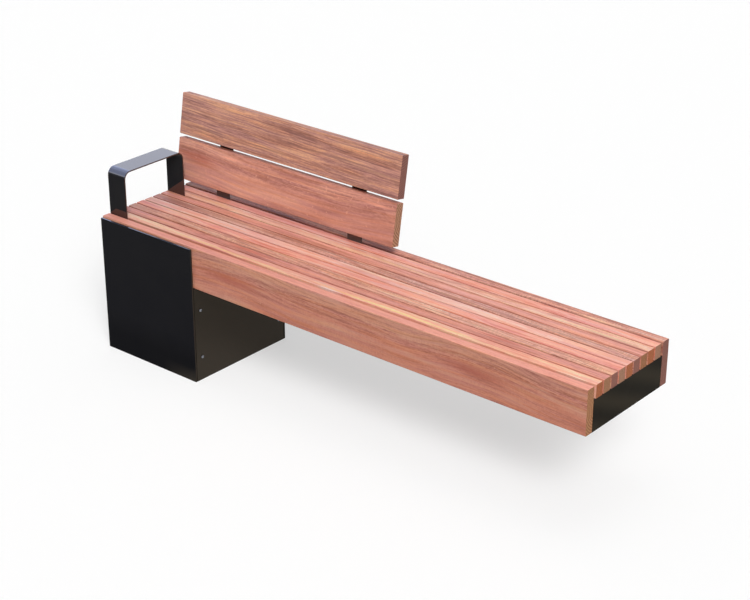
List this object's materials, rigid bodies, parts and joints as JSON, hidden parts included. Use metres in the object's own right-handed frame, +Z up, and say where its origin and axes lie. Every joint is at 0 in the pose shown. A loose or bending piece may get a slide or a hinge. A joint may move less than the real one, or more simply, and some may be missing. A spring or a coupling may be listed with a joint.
{
  "type": "cantilever bench",
  "caption": "Slatted hardwood bench that hangs out from a black steel box base at one end, with a half-length two-plank backrest and a bent flat bar armrest.",
  "frame": {"origin": "on the ground, at the centre of the base plate's underside", "axes": "+X along the seat towards its free end, -Y towards the front, where the sitter's knees are, +Z up"},
  "size_m": [1.8086, 0.4135, 0.7575],
  "materials": {
    "fascia_timber": "oiled hardwood, satin",
    "slat_timber": "oiled hardwood, satin",
    "plank_timber": "oiled hardwood, satin",
    "black_powder_coat": "gloss powder coat on steel",
    "galvanised_steel": "hot-dip galvanised",
    "stainless_steel": "plain stainless steel"
  },
  "bodies": {
    "root": {"front_panel": "black_powder_coat", "rear_panel": "black_powder_coat", "left_side_panel": "black_powder_coat", "right_side_panel": "black_powder_coat", "left_side_panel_screw_1": "stainless_steel", "left_side_panel_screw_2": "stainless_steel", "left_side_panel_screw_3": "stainless_steel", "left_side_panel_screw_4": "stainless_steel", "right_side_panel_screw_1": "stainless_steel", "right_side_panel_screw_2": "stainless_steel", "right_side_panel_screw_3": "stainless_steel", "right_side_panel_screw_4": "stainless_steel", "base_plate": "galvanised_steel", "anchor_bolt_1": "galvanised_steel", "anchor_bolt_2": "galvanised_steel", "anchor_bolt_3": "galvanised_steel", "anchor_bolt_4": "galvanised_steel", "front_left_post": "galvanised_steel", "front_right_post": "galvanised_steel", "rear_left_post": "galvanised_steel", "rear_right_post": "galvanised_steel", "front_beam": "black_powder_coat", "rear_beam": "black_powder_coat", "front_fascia_rail": "black_powder_coat", "rear_fascia_rail": "black_powder_coat", "bearer_1": "black_powder_coat", "bearer_2": "black_powder_coat", "bearer_3": "black_powder_coat", "bearer_4": "black_powder_coat", "bearer_5": "black_powder_coat", "base_end_plate": "black_powder_coat", "free_end_plate": "black_powder_coat", "front_fascia": "fascia_timber", "rear_fascia": "fascia_timber", "slat_1": "slat_timber", "slat_2": "slat_timber", "slat_3": "slat_timber", "slat_4": "slat_timber", "slat_5": "slat_timber", "slat_6": "slat_timber", "slat_7": "slat_timber", "slat_8": "slat_timber", "slat_9": "slat_timber", "lower_backrest_plank": "plank_timber", "upper_backrest_plank": "plank_timber", "left_bracket": "black_powder_coat", "right_bracket": "black_powder_coat", "lower_plank_left_bracket_screw_1": "stainless_steel", "lower_plank_left_bracket_screw_2": "stainless_steel", "lower_plank_right_bracket_screw_1": "stainless_steel", "lower_plank_right_bracket_screw_2": "stainless_steel", "upper_plank_left_bracket_screw_1": "stainless_steel", "upper_plank_left_bracket_screw_2": "stainless_steel", "upper_plank_right_bracket_screw_1": "stainless_steel", "upper_plank_right_bracket_screw_2": "stainless_steel", "armrest": "black_powder_coat"}
  },
  "joints": []
}
